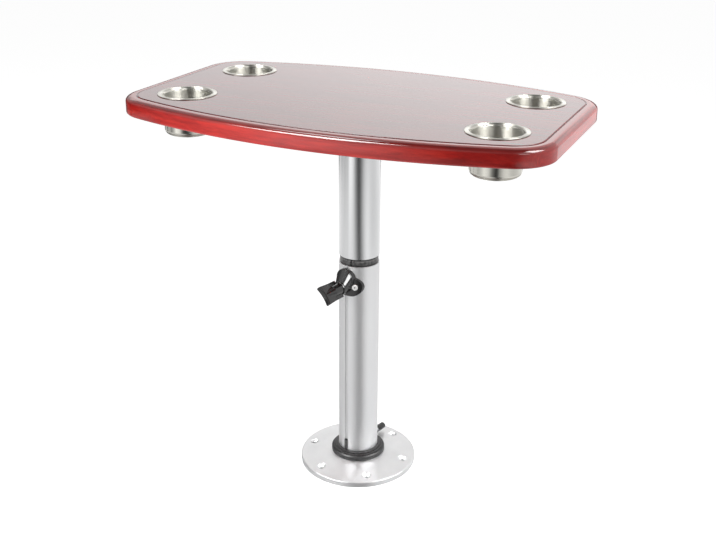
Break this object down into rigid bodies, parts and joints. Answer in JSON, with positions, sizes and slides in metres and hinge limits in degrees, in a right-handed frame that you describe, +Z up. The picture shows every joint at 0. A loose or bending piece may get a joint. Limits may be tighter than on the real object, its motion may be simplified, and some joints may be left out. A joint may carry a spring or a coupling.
{
  "type": "height-adjustable motorhome table",
  "caption": "Pedestal table with bowed glossy wood top, recessed cup holders, telescopic swivel column with clamp knob, and round screw-down base.",
  "frame": {"origin": "underside of the base, on the column's axis", "axes": "+X along the table top's long side, +Y towards the back, away from the side that the clamp knob is on, +Z up"},
  "size_m": [0.617, 0.394, 0.5779],
  "materials": {
    "wood": "high-gloss red mahogany lacquer",
    "stainless": "polished stainless steel",
    "anodised": "satin anodised",
    "cast_aluminium": "brushed casting",
    "black_moulding": "glossy black moulding",
    "black_matte": "matt black moulding",
    "nylon": "natural nylon",
    "steel": "zinc plated",
    "brass": "turned"
  },
  "bodies": {
    "base": {"base_plate": "cast_aluminium", "base_spigot": "cast_aluminium", "spigot_bolt": "steel", "base_collar": "black_matte", "collar_screws": "steel"},
    "base_lock": {"lock_screw": "steel", "lock_knob": "black_moulding"},
    "lower_column": {"lower_tube": "anodised", "clamp_housing": "black_moulding", "clamp_rivets": "steel"},
    "swivel_bush": {"guide_bush": "black_matte"},
    "clamp_knob": {"clamp_knob": "black_moulding", "knob_insert": "brass"},
    "clamp_plunger": {"clamp_plunger": "steel", "pressure_pad": "nylon"},
    "upper_column": {"inner_tube": "anodised", "end_glide": "nylon", "glide_pin": "steel", "lower_spacer": "nylon", "upper_spacer": "nylon", "upper_tube": "anodised", "top_plate": "cast_aluminium", "socket_screws": "steel", "plate_screws": "steel", "table_top": "wood", "cup_holder_front_left": "stainless", "cup_holder_front_right": "stainless", "cup_holder_back_left": "stainless", "cup_holder_back_right": "stainless"}
  },
  "joints": [
    {"name": "column_lift", "type": "slide", "parent": "base", "child": "lower_column", "axis": [0, 0, 1], "range_m": [0, 0.045]},
    {"name": "lock_turn", "type": "hinge", "parent": "base", "child": "base_lock", "pos_m": [0.00868, 0.04924, 0.02065], "axis": [0.1736, 0.9848, 0], "range_deg": [0, 720]},
    {"name": "top_swivel", "type": "hinge", "parent": "lower_column", "child": "swivel_bush", "pos_m": [0, 0, 0.3332], "axis": [0, 0, 1], "continuous": true},
    {"name": "height_slide", "type": "slide", "parent": "swivel_bush", "child": "upper_column", "axis": [0, 0, 1], "range_m": [0, 0.2]},
    {"name": "clamp_turn", "type": "hinge", "parent": "lower_column", "child": "clamp_knob", "pos_m": [-0.0135, -0.05846, 0.3032], "axis": [-0.225, -0.9744, 0], "range_deg": [0, 360]},
    {"name": "pad_slide", "type": "slide", "parent": "lower_column", "child": "clamp_plunger", "axis": [-0.225, -0.9744, 0], "range_m": [0, 0.0016]}
  ],
  "couplings": [
    {"joint": "pad_slide", "follows": "clamp_turn", "m_per_rad": 0.00023873}
  ]
}
